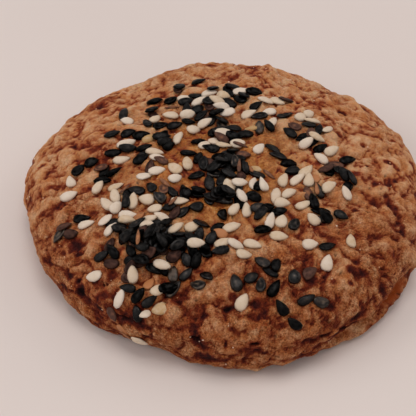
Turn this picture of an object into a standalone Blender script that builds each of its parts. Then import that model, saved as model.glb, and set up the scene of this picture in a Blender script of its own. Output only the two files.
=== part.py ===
"""A sesame biscuit: one thick round of baked dough, shaped by hand, domed on top and flat below.

The solid is the whole uncut biscuit. It starts as a turned blank, whose outline and surface are then
moved the way hands and the oven move dough. Its seeds and crumbs are too small for this model.
"""
import math

import bpy
import numpy as np

MM = 0.001

# Driving sizes, in metres
WIDTH = 72.4 * MM  # mean width at the widest level
HEIGHT = 15.0 * MM  # at the crown
BELLY_LEVEL = 4.8 * MM  # height of the widest level above the foot
FOOT_SHARE = 0.92  # width of the flat foot over the width of the biscuit
CROWN_POWER = 2.6  # superellipse power of the top: 2 is an ellipse, more has squarer shoulders

# Fineness of the mesh
SIDES = 120
CROWN_RINGS = 28
UNDER_RINGS = 9
WELD = 0.00001

# Slow waves of the outline, because hands never press evenly: fewest and most lobes round the
# biscuit, and depth of the wave with the fewest
OUTLINE_SEED = 4
FEWEST_LOBES, MOST_LOBES = 2, 7
SLOWEST_WAVE = 0.6 * MM

# Mounds and hollows left by kneading, in two sizes: how many, spread and height
KNEADING_SEED = 11
KNEADING = (
    (46, 5.2 * MM, 0.36 * MM),
    (150, 2.8 * MM, 0.24 * MM),
)
RIM_PLACES = 0.3  # share of them that lie on the rim

# Marks on the side: direction in degrees, height above the foot, reach round the side, reach up
# and down, and depth, which is less than 0 where the dough stands out
SIDE_MARKS = (
    (3, 6.5 * MM, 2.3 * MM, 5.0 * MM, 0.9 * MM),  # pinch in the right side
    (-131, 6.0 * MM, 3.2 * MM, 2.4 * MM, 1.2 * MM),  # hollow low on the near left
    (-101, 6.2 * MM, 2.6 * MM, 2.2 * MM, 0.8 * MM),  # hollows low on the near side
    (-81, 4.5 * MM, 2.2 * MM, 1.8 * MM, 0.8 * MM),
    (128, 7.0 * MM, 4.0 * MM, 2.2 * MM, 0.7 * MM),  # dent in the far left shoulder
    (52, 8.0 * MM, 5.0 * MM, 2.5 * MM, 0.5 * MM),  # flat on the far right shoulder
    (170, 6.0 * MM, 3.5 * MM, 4.0 * MM, -0.7 * MM),  # corner where the flattened left side starts
    (187, 5.0 * MM, 5.5 * MM, 5.0 * MM, 0.4 * MM),  # the flattened left side
    (176, 7.6 * MM, 9.0 * MM, 0.9 * MM, 0.5 * MM),  # furrows along the left rim
    (190, 4.6 * MM, 11.0 * MM, 0.8 * MM, 0.6 * MM),
    (204, 9.0 * MM, 6.0 * MM, 0.9 * MM, 0.4 * MM),
    (-27, 6.6 * MM, 2.2 * MM, 1.6 * MM, -0.9 * MM),  # flap of crust at the end of the split
    (22, 3.0 * MM, 6.0 * MM, 2.6 * MM, -0.8 * MM),  # swelling low on the right side
)

# The split in the near right side, between the upper crust and the lip under it
SPLIT_FROM, SPLIT_TO = -64, -29  # degrees
SPLIT_LEVEL_FROM, SPLIT_LEVEL_TO = 2.6 * MM, 5.6 * MM
SPLIT_HALF_WIDTH = 0.9 * MM
SPLIT_DEPTH = 1.9 * MM
SPLIT_FADE = 1.1  # where it has faded out, as a share of the way from its middle to its end
LIP_DROP = 2.4 * MM  # how far the lip's crest lies below the split
LIP_HALF_WIDTH = 1.4 * MM
LIP_OUT = 0.8 * MM

# Dimples pressed into the top: place across and towards the back, spread, and depth
TOP_DIMPLES = (
    (1.0 * MM, -30.4 * MM, 2.4 * MM, 0.8 * MM),
    (-20.0 * MM, -21.0 * MM, 3.0 * MM, 0.6 * MM),
    (24.0 * MM, -9.0 * MM, 3.4 * MM, 0.5 * MM),
    (25.0 * MM, 14.0 * MM, 3.0 * MM, 0.5 * MM),
    (-14.0 * MM, 24.0 * MM, 3.2 * MM, 0.5 * MM),
    (11.0 * MM, 1.0 * MM, 4.2 * MM, 0.5 * MM),
)

FOOT_KEEP = 0.9 * MM  # the surface moves less and less below this height, so the foot stays flat

CRUST_COLOUR = (0.44, 0.20, 0.085, 1.0)
CRUST_ROUGHNESS = 0.72


def blank_profile():
    """Outer side of the turned blank as (radius, height): crown, belly, foot, and back to the axis.

    Two quarter curves meet at the belly: a superellipse above it and an ellipse below it.
    """
    radius = WIDTH / 2
    foot = radius * FOOT_SHARE
    turn = np.linspace(0.0, math.pi / 2, CROWN_RINGS)
    crown_radius = radius * np.sin(turn) ** (2 / CROWN_POWER)
    crown_height = BELLY_LEVEL + (HEIGHT - BELLY_LEVEL) * np.clip(np.cos(turn), 0, 1) ** (2 / CROWN_POWER)
    turn = np.linspace(0.0, math.pi / 2, UNDER_RINGS)[1:]
    under_radius = foot + (radius - foot) * np.cos(turn)
    under_height = BELLY_LEVEL * (1 - np.sin(turn))
    under_height[-1] = 0.0
    radii = np.concatenate([crown_radius, under_radius, [0.0]])
    heights = np.concatenate([crown_height, under_height, [0.0]])
    return [(float(r), 0.0, float(z)) for r, z in zip(radii, heights)]


def turned_mesh(profile):
    """The closed mesh of the profile turned once round the Z axis by a Screw modifier."""
    line = bpy.data.meshes.new("blank_profile")
    line.from_pydata(profile, [(i, i + 1) for i in range(len(profile) - 1)], [])
    blank = bpy.data.objects.new("blank", line)
    bpy.context.scene.collection.objects.link(blank)
    screw = blank.modifiers.new("Turn", "SCREW")
    screw.axis = "Z"
    screw.angle = 2 * math.pi
    screw.steps = SIDES
    screw.render_steps = SIDES
    screw.use_merge_vertices = True
    screw.merge_threshold = WELD
    screw.use_smooth_shade = True
    bpy.context.view_layer.update()
    seen = blank.evaluated_get(bpy.context.evaluated_depsgraph_get())
    mesh = bpy.data.meshes.new_from_object(seen)
    bpy.data.objects.remove(blank)
    bpy.data.meshes.remove(line)
    return mesh


def bell(distance, spread):
    """A smooth bump of height 1, which has all but gone at twice its spread."""
    return np.exp(-((distance / spread) ** 2))


def turned_by(directions, degrees):
    """Signed angle from a direction in degrees, in radians between -pi and pi."""
    return (directions - math.radians(degrees) + math.pi) % (2 * math.pi) - math.pi


def outline_shift(directions):
    """How far the outline stands out of the round blank at each direction: a sum of cosine waves.

    The more lobes a wave has, the shallower it is, and each is turned by a seeded angle.
    """
    rng = np.random.default_rng(OUTLINE_SEED)
    shift = np.zeros_like(directions)
    for lobes in range(FEWEST_LOBES, MOST_LOBES + 1):
        depth = SLOWEST_WAVE * FEWEST_LOBES / lobes
        shift += depth * np.cos(lobes * directions - rng.uniform(0, 2 * math.pi))
    return shift


def kneading_relief(points):
    """Height of the kneaded mounds and hollows: a bell of the distance to each seeded place.

    The places are spread evenly over the crown's plan, and a share of them over the height of the rim.
    """
    rng = np.random.default_rng(KNEADING_SEED)
    relief = np.zeros(len(points))
    for count, spread, height in KNEADING:
        directions = rng.uniform(0, 2 * math.pi, count)
        shares = np.sqrt(rng.uniform(0, 1, count))
        levels = BELLY_LEVEL + (HEIGHT - BELLY_LEVEL) * (1 - shares**CROWN_POWER) ** (1 / CROWN_POWER)
        on_rim = rng.uniform(0, 1, count) < RIM_PLACES
        shares = np.where(on_rim, 1.0, shares)
        levels = np.where(on_rim, rng.uniform(FOOT_KEEP, HEIGHT / 2, count), levels)
        radii = shares * WIDTH / 2
        centres = np.stack([radii * np.cos(directions), radii * np.sin(directions), levels], axis=1)
        signs = rng.choice([-1.0, 1.0], count)
        gaps = np.linalg.norm(points[:, None, :] - centres[None, :, :], axis=2)
        relief += height * (bell(gaps, spread) @ signs)
    return relief


def side_relief(points, directions):
    """How far the side stands out: each mark is a bell round the side times a bell up and down it."""
    relief = np.zeros(len(points))
    for degrees, level, round_reach, high_reach, depth in SIDE_MARKS:
        along = turned_by(directions, degrees) * WIDTH / 2
        mark = bell(along, round_reach) * bell(points[:, 2] - level, high_reach)
        relief -= depth * mark
    return relief


def split_relief(points, directions):
    """The split, a narrow groove whose level climbs from end to end, and the lip along its lower side."""
    middle = (SPLIT_FROM + SPLIT_TO) / 2
    half = math.radians(SPLIT_TO - SPLIT_FROM) / 2
    share = np.clip(turned_by(directions, middle) / half, -SPLIT_FADE, SPLIT_FADE)
    level = SPLIT_LEVEL_FROM + (SPLIT_LEVEL_TO - SPLIT_LEVEL_FROM) * (share + 1) / 2
    ends = 1 - (np.abs(share) / SPLIT_FADE) ** 6
    groove = SPLIT_DEPTH * bell(points[:, 2] - level, SPLIT_HALF_WIDTH)
    lip = LIP_OUT * bell(points[:, 2] - level + LIP_DROP, LIP_HALF_WIDTH)
    return ends * (lip - groove)


def top_relief(points):
    """Depth of the dimples in the top, each a bell round its place, fading down the side."""
    relief = np.zeros(len(points))
    for across, back, spread, depth in TOP_DIMPLES:
        gaps = np.hypot(points[:, 0] - across, points[:, 1] - back)
        relief -= depth * bell(gaps, spread)
    return relief * np.clip(points[:, 2] / BELLY_LEVEL - 1, 0, 1)


def shape_by_hand(mesh):
    """Move the blank's vertices: marks along its normals, the outline and the side straight out."""
    count = len(mesh.vertices)
    points = np.empty(count * 3)
    mesh.vertices.foreach_get("co", points)
    points = points.reshape(count, 3)
    normals = np.empty(count * 3)
    mesh.vertices.foreach_get("normal", normals)
    normals = normals.reshape(count, 3)
    directions = np.arctan2(points[:, 1], points[:, 0])
    radii = np.hypot(points[:, 0], points[:, 1])
    keep = np.clip(points[:, 2] / FOOT_KEEP, 0, 1)

    along_normal = kneading_relief(points) + top_relief(points)
    outwards = side_relief(points, directions) + split_relief(points, directions)
    stretch = outline_shift(directions) * radii / (WIDTH / 2)
    moved = points + normals * (along_normal * keep)[:, None]
    moved[:, 0] += (outwards * keep + stretch) * np.cos(directions)
    moved[:, 1] += (outwards * keep + stretch) * np.sin(directions)

    middle = (moved.min(axis=0) + moved.max(axis=0)) / 2
    moved[:, :2] -= middle[:2]
    mesh.vertices.foreach_set("co", moved.ravel())
    mesh.update()


def crust_material():
    """Baked crust: light brown, slightly shiny where the wash caught it, matt elsewhere."""
    material = bpy.data.materials.new("baked_crust")
    material.use_nodes = True
    shader = material.node_tree.nodes["Principled BSDF"]
    shader.inputs["Base Color"].default_value = CRUST_COLOUR
    shader.inputs["Roughness"].default_value = CRUST_ROUGHNESS
    shader.inputs["Metallic"].default_value = 0.0
    return material


def build():
    """The whole part: one object in its own collection."""
    for old in list(bpy.data.objects):
        bpy.data.objects.remove(old)
    parts = bpy.data.collections.new("sesame_biscuit")
    bpy.context.scene.collection.children.link(parts)
    mesh = turned_mesh(blank_profile())
    mesh.name = "biscuit"
    shape_by_hand(mesh)
    mesh.shade_smooth()
    biscuit = bpy.data.objects.new("biscuit", mesh)
    biscuit.data.materials.append(crust_material())
    parts.objects.link(biscuit)


build()
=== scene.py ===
"""The looks of a sesame biscuit: crust with relief and stains, seeds, husks, crumbs, floor and light."""

import itertools
import math

import bpy
import numpy as np
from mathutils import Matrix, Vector


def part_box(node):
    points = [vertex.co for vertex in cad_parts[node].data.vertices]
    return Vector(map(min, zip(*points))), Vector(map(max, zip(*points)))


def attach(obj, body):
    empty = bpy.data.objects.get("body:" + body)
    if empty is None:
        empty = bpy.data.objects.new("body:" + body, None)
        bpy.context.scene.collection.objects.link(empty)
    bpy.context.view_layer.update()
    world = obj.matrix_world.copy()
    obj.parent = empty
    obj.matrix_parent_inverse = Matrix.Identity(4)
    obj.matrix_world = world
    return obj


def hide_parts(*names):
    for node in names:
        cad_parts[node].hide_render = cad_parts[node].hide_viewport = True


MM = 0.001

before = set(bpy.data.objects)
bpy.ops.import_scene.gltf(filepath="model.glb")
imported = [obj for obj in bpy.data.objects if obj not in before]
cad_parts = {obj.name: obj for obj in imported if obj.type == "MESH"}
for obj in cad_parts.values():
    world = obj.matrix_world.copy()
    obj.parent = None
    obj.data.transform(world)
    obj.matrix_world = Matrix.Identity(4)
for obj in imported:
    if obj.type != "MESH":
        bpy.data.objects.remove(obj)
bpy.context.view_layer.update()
BODY = "root"
DOUGH_NODE = "biscuit"
low_corner, high_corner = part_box(DOUGH_NODE)
HALF_WIDTH = (high_corner.x - low_corner.x + high_corner.y - low_corner.y) / 4
CROWN_LEVEL = high_corner.z

# ---------------------------------------------------------------- shared small tools


def linear(colour):
    """An sRGB hex colour, such as "C79A6B", as linear red, green, blue and alpha."""
    parts = [int(colour[i:i + 2], 16) / 255 for i in (0, 2, 4)]
    return [p / 12.92 if p <= 0.04045 else ((p + 0.055) / 1.055) ** 2.4 for p in parts] + [1.0]


def node(tree, kind, inputs=None, **settings):
    """Add a node: settings are its own properties, inputs are values or the sockets linked to it."""
    made = tree.nodes.new(kind)
    for name, value in settings.items():
        setattr(made, name, value)
    for name, value in (inputs or {}).items():
        if isinstance(value, bpy.types.NodeSocket):
            tree.links.new(value, made.inputs[name])
        else:
            made.inputs[name].default_value = value
    return made


def bare_material(name):
    """A new material without nodes, and its node tree."""
    material = bpy.data.materials.new(name)
    material.use_nodes = True
    material.node_tree.nodes.clear()
    return material, material.node_tree


def ramp(tree, factor, stops):
    """A colour ramp over stops of (place, hex colour), driven by the factor socket."""
    made = node(tree, "ShaderNodeValToRGB", {"Fac": factor})
    elements = made.color_ramp.elements
    while len(elements) < len(stops):
        elements.new(0.5)
    for element, (place, colour) in zip(elements, stops):
        element.position = place
        element.color = linear(colour)
    return made.outputs["Color"]


def smooth(low, high, value):
    """0 below low, 1 above high, and a soft S curve between them."""
    share = np.clip((value - low) / (high - low), 0, 1)
    return share * share * (3 - 2 * share)


def lattice_number(cells, seed):
    """A repeatable number from 0 to 1 for each whole-numbered cell: its place and the seed, hashed."""
    mixed = cells[..., 0] * 73856093 ^ cells[..., 1] * 19349663 ^ cells[..., 2] * 83492791 ^ seed * 2654435
    mixed = mixed & 0xFFFFFFFF
    mixed = (mixed ^ (mixed >> 15)) * 2246822519 & 0xFFFFFFFF
    mixed = (mixed ^ (mixed >> 13)) * 3266489917 & 0xFFFFFFFF
    return ((mixed ^ (mixed >> 16)) & 0xFFFFFF) / float(0xFFFFFF)


def cloud(points, size, seed):
    """Gradient noise from about -1 to 1, whose lumps are about size across.

    Each corner of a cubic lattice has a random slope; a point's height is the mean of what the
    slopes of the eight corners round it say, weighted by a smooth function of its place in the cell.
    """
    places = points / size
    base = np.floor(places).astype(np.int64)
    inside = places - base
    weights = inside**3 * (inside * (inside * 6 - 15) + 10)
    total = np.zeros(places.shape[:-1])
    for corner in itertools.product((0, 1), repeat=3):
        corner = np.array(corner)
        cells = base + corner
        slopes = np.stack([lattice_number(cells, seed + k) for k in (1, 2, 3)], axis=-1) * 2 - 1
        weight = np.prod(np.where(corner == 1, weights, 1 - weights), axis=-1)
        total += weight * np.sum(slopes * (inside - corner), axis=-1)
    return total * 1.5


def layered(points, size, seed, layers=3):
    """A sum of clouds, each half the size and a bit more than half the height of the one before."""
    return sum(0.55**k * cloud(points, size / 2**k, seed + 10 * k) for k in range(layers))


def grains(points, size, seed):
    """Distance to the nearest of the points scattered one to a lattice cell, as a share of size, and
    that point's own number from 0 to 1."""
    places = points / size
    base = np.floor(places).astype(np.int64)
    nearest = np.full(places.shape[:-1], 9.0)
    number = np.zeros(places.shape[:-1])
    for step in itertools.product((-1, 0, 1), repeat=3):
        cells = base + np.array(step)
        centres = cells + np.stack([lattice_number(cells, seed + k) for k in (1, 2, 3)], axis=-1)
        gap = np.linalg.norm(places - centres, axis=-1)
        closer = gap < nearest
        nearest = np.where(closer, gap, nearest)
        number = np.where(closer, lattice_number(cells, seed + 4), number)
    return nearest, number


def piece(name, vertices, faces, material, **attributes):
    """A smooth-shaded mesh object from arrays, with one named number a vertex for each attribute."""
    mesh = bpy.data.meshes.new(name)
    mesh.from_pydata(vertices.reshape(-1, 3).tolist(), [], faces)
    mesh.shade_smooth()
    for key, values in attributes.items():
        layer = mesh.attributes.new(key, "FLOAT", "POINT")
        layer.data.foreach_set("value", np.asarray(values, np.float32).ravel())
    mesh.materials.append(material)
    made = bpy.data.objects.new(name, mesh)
    bpy.context.scene.collection.objects.link(made)
    return made


# ---------------------------------------------------------------- the crust

CRUST_MARKS = ("stain", "glaze", "hollow", "browning", "amber")
GRID = 291  # points along each side of the crust's grid: about 0.3 mm apart
BELLY_SHARE = 0.32  # height of the widest level over the whole height
FOOT_SHARE = 0.92
CROWN_POWER = 2.6
FOOT_TURN_IN = 2.0 * MM  # how far the grid runs on under the biscuit
FOOT_RINGS = 8
FOOT_DIMPLES = 0.12 * MM  # how far the deepest reach up into the underside
SOFTENING = 10  # rounds that take the facets off the grid


def blank_line():
    """Radius and height along the biscuit's plain profile, from the crown to inside the foot.

    A quarter superellipse down to the belly, a quarter ellipse in to the foot, then level inwards.
    """
    belly = CROWN_LEVEL * BELLY_SHARE
    foot = HALF_WIDTH * FOOT_SHARE
    turn = np.linspace(0, math.pi / 2, 200)
    over_radius = HALF_WIDTH * np.sin(turn) ** (2 / CROWN_POWER)
    over_height = belly + (CROWN_LEVEL - belly) * np.cos(turn).clip(0) ** (2 / CROWN_POWER)
    under_radius = foot + (HALF_WIDTH - foot) * np.cos(turn)
    under_height = belly * (1 - np.sin(turn))
    radius = np.concatenate([over_radius, under_radius[1:], [foot - FOOT_TURN_IN]])
    height = np.concatenate([over_height, under_height[1:], [0.0]])
    return radius, height


def blank_grid():
    """The plain biscuit as a grid of points: a square wrapped over it like a cloth over a bun.

    Each square ring of the grid becomes a ring round the biscuit, and the rings lie evenly along
    the profile's length.
    """
    across, back = np.meshgrid(np.linspace(-1, 1, GRID), np.linspace(-1, 1, GRID))
    share = np.maximum(np.abs(across), np.abs(back))
    wide = np.abs(across) >= np.abs(back)
    safe = np.where(share == 0, 1.0, share)
    turn = np.where(wide, math.pi / 4 * back / np.where(wide, np.where(across == 0, 1, across), 1),
                    math.pi / 2 - math.pi / 4 * across / np.where(wide, 1, safe * np.sign(back + 1e-30)))
    turn = np.where(wide & (across < 0), turn + math.pi, turn)
    turn = np.where(~wide & (back < 0), turn + math.pi, turn)
    radius, height = blank_line()
    length = np.concatenate([[0], np.cumsum(np.hypot(np.diff(radius), np.diff(height)))])
    ring_radius = np.interp(share * length[-1], length, radius)
    ring_height = np.interp(share * length[-1], length, height)
    return np.stack([ring_radius * np.cos(turn), ring_radius * np.sin(turn), ring_height], axis=-1)


def grid_faces(rows, columns, first=0):
    """Four-cornered faces of a grid of points, wound so that they face up and out."""
    start = first + np.arange(rows - 1)[:, None] * columns + np.arange(columns - 1)[None, :]
    corners = np.stack([start, start + 1, start + columns + 1, start + columns], axis=-1)
    return corners.reshape(-1, 4).tolist()


def projected(points, target, **settings):
    """A grid of points slid on to a target object until each meets it: along the grid's own normals,
    or along the axes that the settings name."""
    mesh = bpy.data.meshes.new("cover")
    mesh.from_pydata(points.reshape(-1, 3).tolist(), [], grid_faces(*points.shape[:2]))
    cover = bpy.data.objects.new("cover", mesh)
    bpy.context.scene.collection.objects.link(cover)
    wrap = cover.modifiers.new("slide", "SHRINKWRAP")
    wrap.target = target
    wrap.wrap_method = "PROJECT"
    wrap.use_negative_direction = True
    for name, value in settings.items():
        setattr(wrap, name, value)
    bpy.context.view_layer.update()
    seen = cover.evaluated_get(bpy.context.evaluated_depsgraph_get()).data
    moved = np.empty(points.size)
    seen.vertices.foreach_get("co", moved)
    bpy.data.objects.remove(cover)
    return moved.reshape(points.shape)


def softened(grid, rounds):
    """Each round moves every inner point half way to the middle of its four neighbours."""
    grid = grid.copy()
    for _ in range(rounds):
        middle = (grid[:-2, 1:-1] + grid[2:, 1:-1] + grid[1:-1, :-2] + grid[1:-1, 2:]) / 4
        grid[1:-1, 1:-1] = (grid[1:-1, 1:-1] + middle) / 2
    return grid


def grid_normals(grid):
    """Unit normals of a grid of points: the cross product of its slopes along rows and columns."""
    normals = np.cross(np.gradient(grid, axis=1), np.gradient(grid, axis=0))
    return normals / np.linalg.norm(normals, axis=-1, keepdims=True)


GLAZE_MIDDLE = (-1.0, -3.0)  # mm across and towards the back
GLAZE_REACH = 17.0
SPLIT_TURN, SPLIT_LEVEL = -37.0, 4.2  # where syrup shows in the split: degrees round, and mm up
SPLIT_REACH = 3.4  # mm along the wall
SOAK_LEVEL = 0.16
SOAK_SPREAD = 0.14
SPOT_RIM = (1.9, 0.3)  # where a spot begins and is at its full strength, as shares of its half size
FOLD = 0.04  # how round the bottom is where a cloud is folded up at zero
FOLD_MEAN = 0.27  # about what a folded cloud averages
FADE_LEVEL = 1.2  # mm above the foot where the relief is whole

# Spots of dried syrup on the upper side: mm across, mm back, half length, half width, heading in
# degrees, and strength; rust is about a half, maroon three quarters, and a hole more than one, which
# the material paints near-black as shade
TOP_SPOTS = (
    # left, in front
    (-25.2, -17.4, 1.9, 1.2, -60, 0.75),
    (-24.4, -19.1, 0.8, 0.35, -10, 1.0),
    (-26.2, -21.6, 1.1, 0.5, -50, 0.9),
    (-24.4, -23.2, 0.45, 0.35, 0, 1.1),
    (-28.8, -16.0, 1.2, 0.4, -80, 0.65),
    (-21.8, -24.3, 1.4, 0.5, 0, 0.72),
    (-19.5, -25.2, 0.8, 0.15, -20, 1.3),
    (-20.2, -26.6, 1.8, 0.7, -10, 0.78),
    (-16.3, -30.0, 0.9, 0.5, 0, 0.7),
    # in front
    (-7.4, -29.2, 1.9, 0.7, 5, 0.72),
    (-3.2, -31.8, 1.0, 0.4, 10, 0.7),
    (1.0, -30.4, 0.95, 0.5, 20, 1.3),
    (1.5, -29.2, 1.2, 1.0, 90, 0.75),
    (1.6, -33.9, 0.8, 0.35, 0, 0.85),
    (5.3, -29.9, 1.2, 1.1, 0, 0.7),
    (6.4, -31.5, 1.6, 0.35, 40, 0.8),
    (9.3, -27.4, 0.9, 0.5, 0, 0.62),
    (13.7, -25.2, 1.8, 1.5, 0, 0.74),
    (16.6, -24.8, 0.35, 0.35, 0, 1.1),
    (18.0, -25.6, 0.7, 0.6, 0, 0.7),
    (17.2, -29.0, 1.2, 0.95, 0, 0.8),
    (22.5, -23.0, 2.4, 0.9, 0, 0.74),
    (20.6, -25.3, 0.6, 0.5, 0, 0.9),
    # right
    (28.8, -18.3, 1.6, 0.8, -80, 0.85),
    (26.0, -19.4, 1.8, 0.3, -15, 0.7),
    (27.0, -24.4, 1.0, 0.5, -80, 0.8),
    (23.1, -10.8, 0.5, 0.45, 0, 0.95),
    (31.2, -13.2, 1.7, 0.6, -80, 0.8),
    (30.2, -8.8, 2.4, 0.8, -65, 0.85),
    (27.3, -8.4, 1.6, 0.9, 20, 0.7),
    (27.8, -3.9, 1.1, 0.8, 0, 0.75),
    (24.3, -2.6, 1.6, 0.7, -20, 0.75),
    (25.8, 0.2, 1.4, 0.3, 30, 0.75),
    (30.3, 2.2, 1.1, 0.5, -20, 0.9),
    (32.0, 1.4, 0.9, 0.5, -40, 0.85),
    (31.5, -2.0, 0.6, 0.5, 90, 0.85),
    (32.3, 9.0, 0.9, 0.5, -40, 0.8),
    (21.6, 8.0, 1.1, 0.7, 10, 0.7),
    (26.0, 5.8, 0.5, 0.5, 0, 0.95),
    (23.3, 15.4, 0.8, 0.5, 0, 0.8),
    (28.0, 12.4, 1.5, 0.5, -15, 0.7),
    # behind and left
    (14.5, 23.0, 1.2, 0.3, -5, 0.75),
    (7.0, 24.5, 1.5, 0.6, -20, 0.62),
    (17.5, 17.0, 1.2, 0.8, 0, 0.62),
    (-23.8, 18.0, 1.6, 0.8, 55, 0.75),
    (-23.5, 3.2, 1.0, 0.6, 20, 0.75),
    (-27.6, 5.6, 0.9, 0.7, 0, 0.8),
    (-30.5, 6.5, 1.1, 0.6, 40, 0.8),
    (-33.0, 2.2, 0.9, 0.6, 40, 0.85),
    (-31.2, 0.4, 1.0, 0.6, 10, 0.8),
    (-29.3, -4.0, 1.8, 0.7, 0, 0.62),
    (-28.2, -8.4, 1.2, 0.6, 0, 0.75),
    (-24.0, -5.6, 1.1, 0.8, -20, 0.8),
    (-31.5, -9.0, 1.2, 0.4, 20, 0.7),
)

# The same on the wall: degrees round from the right, mm up, half width, half height and strength;
# the three rows along the split are painted shadow under the overhanging crust
WALL_SPOTS = (
    (-141.0, 6.2, 1.0, 0.6, 0.9),
    (-134.0, 7.7, 1.2, 1.2, 1.2),
    (-132.0, 6.5, 1.2, 0.8, 0.85),
    (-127.0, 6.8, 1.2, 0.8, 0.9),
    (-118.0, 8.0, 1.8, 0.22, 1.2),
    (-115.0, 8.3, 2.4, 1.1, 0.75),
    (-98.0, 9.0, 0.9, 0.9, 0.85),
    (-97.5, 7.7, 1.0, 0.4, 1.3),
    (-96.5, 6.8, 1.5, 0.7, 0.8),
    (-89.4, 8.2, 0.15, 0.9, 1.2),
    (-82.0, 7.9, 0.9, 0.22, 1.3),
    (-82.5, 8.0, 1.5, 0.5, 0.7),
    # this row and the next: painted shadow in the split, under the overhanging crust
    (-62.5, 6.6, 1.4, 0.3, 1.2),
    (-56.0, 5.6, 3.0, 0.45, 1.2),
    (-52.5, 6.8, 1.2, 0.6, 0.85),
    # painted shadow in the split, under the overhanging crust
    (-51.0, 4.6, 1.4, 0.8, 1.0),
    (-50.5, 8.2, 0.5, 0.9, 0.9),
    (-46.0, 8.0, 0.5, 0.9, 0.8),
)


def evened(values):
    """Values shifted and scaled to a mean of 0 and a spread of 1."""
    return (values - values.mean()) / values.std()


def blots(points, size, share, seed):
    """Random spots from 0 to 1, no more than one to a cell of a size, with a soft rim."""
    near, number = grains(points, size, seed)
    reach = 0.20 + 0.26 * number / share
    return np.where(number < share, smooth(1.2 * reach, 0.1 * reach, near), 0)


def placed_spots(mm, turn, ragged):
    """The two tables of spots drawn on the crust; ragged is noise that frays their rims."""
    spots = np.zeros(turn.shape)
    for across, back, length, width, heading, strength in TOP_SPOTS:
        heading = math.radians(heading)
        gap = (mm[..., 0] - across, mm[..., 1] - back)
        along = gap[0] * math.cos(heading) + gap[1] * math.sin(heading)
        aside = gap[1] * math.cos(heading) - gap[0] * math.sin(heading)
        share = np.hypot(along / length, aside / width) + ragged
        spots = np.maximum(spots, strength * smooth(*SPOT_RIM, share))
    for degrees, height, width, tall, strength in WALL_SPOTS:
        around = (turn - math.radians(degrees)) * HALF_WIDTH / MM
        share = np.hypot(around / width, (mm[..., 2] - height) / tall) + ragged
        spots = np.maximum(spots, strength * smooth(*SPOT_RIM, share))
    return spots


def split_fields(turn, height):
    """Three soft ovals at the split, from 0 to 1: amber syrup in it, a pocket above and a lip below."""
    along = (turn - math.radians(SPLIT_TURN)) * HALF_WIDTH / MM / SPLIT_REACH
    above = height - SPLIT_LEVEL
    amber = smooth(1.4, 0.6, np.hypot(along, above / 1.1))
    pocket = smooth(1.2, 0.4, np.hypot(along, (above - 1.1) / 0.8))
    lip = smooth(1.2, 0.4, np.hypot(along, (above + 1.2) / 0.9))
    return amber, pocket, lip


def dough_clouds(mm, bent):
    """Lumps of dough, cobbles and crumble that are clouds folded up at zero so that they meet in
    narrow valleys, and pebbles, each a rounded grain of its own height."""
    lumps = layered(mm, 7.5, 20, 2)
    cobbles = np.hypot(layered(bent, 4.6, 30, 2), FOLD)
    crumble = np.hypot(layered(bent, 2.0, 40, 2), FOLD)
    near, number = grains(bent, 1.3, 60)
    pebbles = smooth(0.75, 0.1, near) * (0.35 + 0.65 * number)
    return lumps, cobbles, crumble, pebbles


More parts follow.
